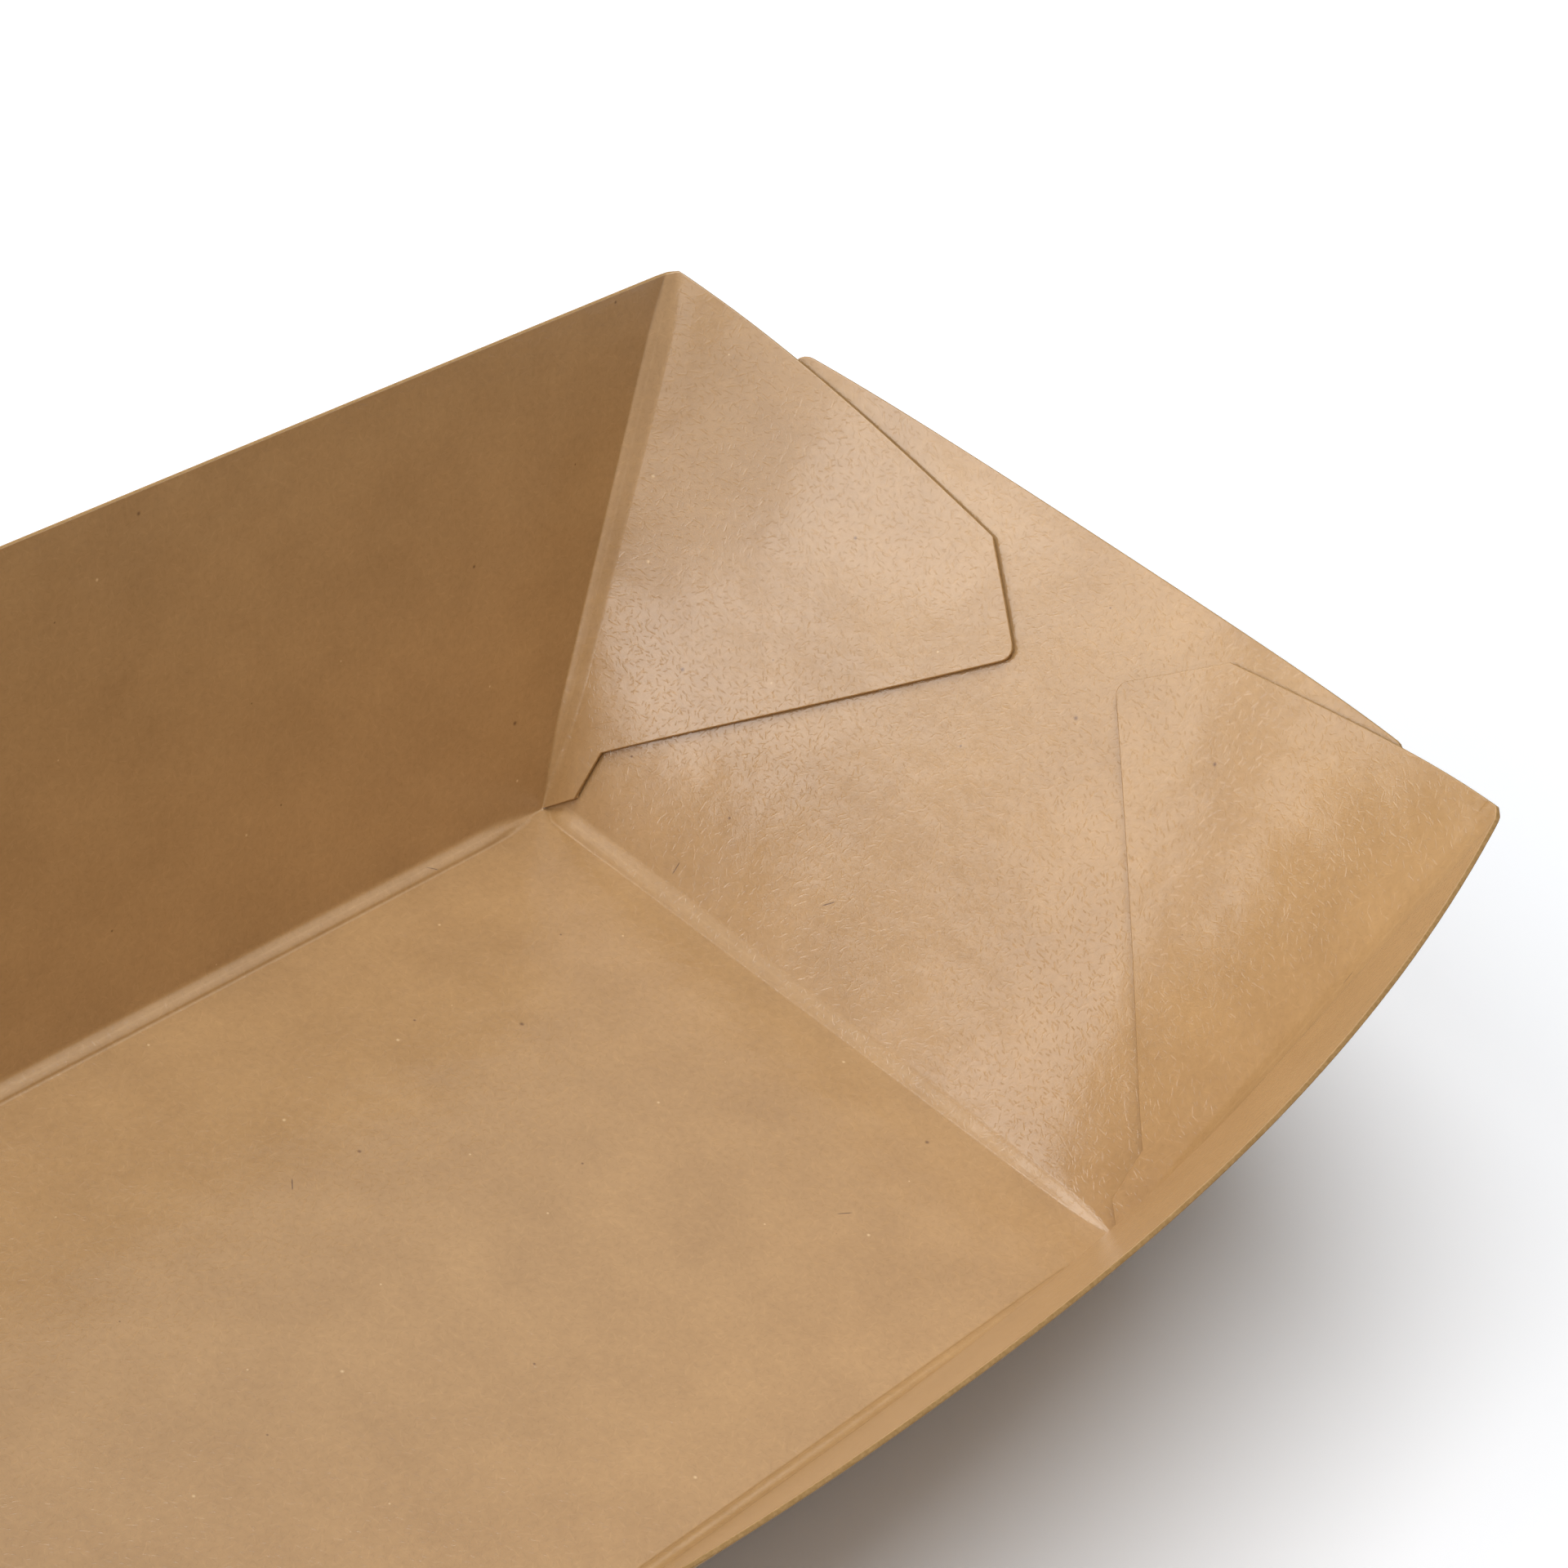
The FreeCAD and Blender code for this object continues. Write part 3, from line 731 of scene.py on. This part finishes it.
# Die-cut edges: the open pulp between the two faces, a little darker than they are, and fuzzy. This pattern
# is laid out in metres on the folded sheet, because a place on the blank is the same all through a cut.
CUT_DARK, CUT_PALE = "#94713F", "#B18C5A"
FUZZ_SIZE = 0.00035
FUZZ_HEIGHT = 0.00005
cut_kraft = bpy.data.materials.new("die_cut_kraft_edge")
cut_kraft.use_nodes = True
tree = cut_kraft.node_tree
shader = tree.nodes["Principled BSDF"]
place = add_node(tree, "TexCoord", {}).outputs["Object"]
fuzz = add_node(tree, "TexNoise", {"Vector": place, "Scale": 1 / FUZZ_SIZE, "Detail": 3,
                                   "Roughness": 0.65}).outputs[0]
pulp = add_node(tree, "ValToRGB", {0: fuzz})
dark_end, pale_end = pulp.color_ramp.elements
dark_end.position, dark_end.color = 0.3, linear(CUT_DARK)
pale_end.position, pale_end.color = 0.7, linear(CUT_PALE)
tree.links.new(pulp.outputs[0], shader.inputs["Base Color"])
rough_cut = add_node(tree, "Bump", {"Distance": FUZZ_HEIGHT, "Height": fuzz}).outputs[0]
tree.links.new(rough_cut, shader.inputs["Normal"])
shader.inputs["Roughness"].default_value = 0.92
for finish in (coated_kraft, bare_kraft, cut_kraft):
    sheet_mesh.materials.append(finish)
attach(folded_sheet, "root")
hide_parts("tray")

# Surroundings
# A white laminate table top in soft studio light from four softboxes: one overhead, one high up beyond the -X
# end, one low beyond a corner of that end, and one along the +Y side. Sizes from here on are in metres.

# The top reaches this far each way, and lies a hair below the tray, so that they don't share a plane.
TABLE_REACH = 4.0
TABLE_DROP = 0.00005

floor_shape = bmesh.new()
bmesh.ops.create_grid(floor_shape, x_segments=1, y_segments=1, size=TABLE_REACH)
bmesh.ops.translate(floor_shape, vec=(0, 0, -TABLE_DROP), verts=floor_shape.verts[:])
floor_mesh = bpy.data.meshes.new("table_top")
floor_shape.to_mesh(floor_mesh)
floor_shape.free()
table_top = bpy.data.objects.new("table_top", floor_mesh)
bpy.context.collection.objects.link(table_top)


def to_be_seen(tree):
    """1 for a ray from the lens, off a gloss or through something clear, and 0 for the light itself."""
    path = add_node(tree, "LightPath", {}).outputs
    seen = path["Is Camera Ray"]
    for ray in ("Is Glossy Ray", "Is Transmission Ray"):
        seen = add_node(tree, "Math", {0: seen, 1: path[ray]}, operation="MAXIMUM").outputs[0]
    return seen


# The table top is white laminate. Where it is seen, it fades into plain white past the tray's shadow.
FADE_START, FADE_END = 0.28, 0.6
SEEN_WHITE = (1.13, 1.15, 1.18, 1)
UNSEEN_WHITE = (0.8, 0.8, 0.8, 1)

laminate = bpy.data.materials.new("white_laminate")
laminate.use_nodes = True
tree = laminate.node_tree
tree.nodes.clear()
place = add_node(tree, "TexCoord", {}).outputs["Object"]
from_tray = add_node(tree, "VectorMath", {0: place}, operation="LENGTH").outputs["Value"]
fade = add_node(tree, "MapRange", {0: from_tray, 1: FADE_START, 2: FADE_END},
                interpolation_type="SMOOTHSTEP").outputs[0]
near = add_node(tree, "BsdfDiffuse", {"Color": SEEN_WHITE}).outputs[0]
far = add_node(tree, "Emission", {"Color": (1, 1, 1, 1), "Strength": 1}).outputs[0]
seen = add_node(tree, "MixShader", {0: fade, 1: near, 2: far}).outputs[0]
unseen = add_node(tree, "BsdfDiffuse", {"Color": UNSEEN_WHITE}).outputs[0]
either = add_node(tree, "MixShader", {0: to_be_seen(tree), 1: unseen, 2: seen}).outputs[0]
add_node(tree, "OutputMaterial", {"Surface": either})
floor_mesh.materials.append(laminate)

# The room gives a faint even fill, and shows as plain white where it is seen or reflected.
ROOM_FILL = 0.17

world = bpy.data.worlds.new("studio")
bpy.context.scene.world = world
world.use_nodes = True
tree = world.node_tree
tree.nodes.clear()
room = add_node(tree, "Background", {"Color": (1, 1, 1, 1), "Strength": ROOM_FILL}).outputs[0]
backdrop = add_node(tree, "Background", {"Color": (1, 1, 1, 1), "Strength": 1}).outputs[0]
either = add_node(tree, "MixShader", {0: to_be_seen(tree), 1: room, 2: backdrop}).outputs[0]
add_node(tree, "OutputWorld", {"Surface": either})


def softbox(name, place, width, height, power, aim=(0, 0, 0.02)):
    """Rectangular lamp at a place, turned to face the tray."""
    lamp = bpy.data.lights.new(name, "AREA")
    lamp.shape = "RECTANGLE"
    lamp.size, lamp.size_y = width, height
    lamp.energy = power
    holder = bpy.data.objects.new(name, lamp)
    back = Vector(place) - Vector(aim)
    holder.matrix_world = Matrix.Translation(place) @ back.to_track_quat("Z", "Y").to_matrix().to_4x4()
    bpy.context.collection.objects.link(holder)


softbox("overhead", place=(0.0, 0.0, 1.2), width=0.9, height=0.9, power=8.9)
softbox("far_end", place=(-0.92, 0.0, 0.79), width=1.0, height=1.0, power=5.7)
softbox("low_far_corner", place=(-1.03, 0.36, 0.35), width=0.9, height=0.5, power=3.9)
softbox("left_side", place=(-0.35, 1.1, 0.5), width=1.0, height=0.6, power=4.1)

bpy.context.scene.view_settings.view_transform = "Standard"
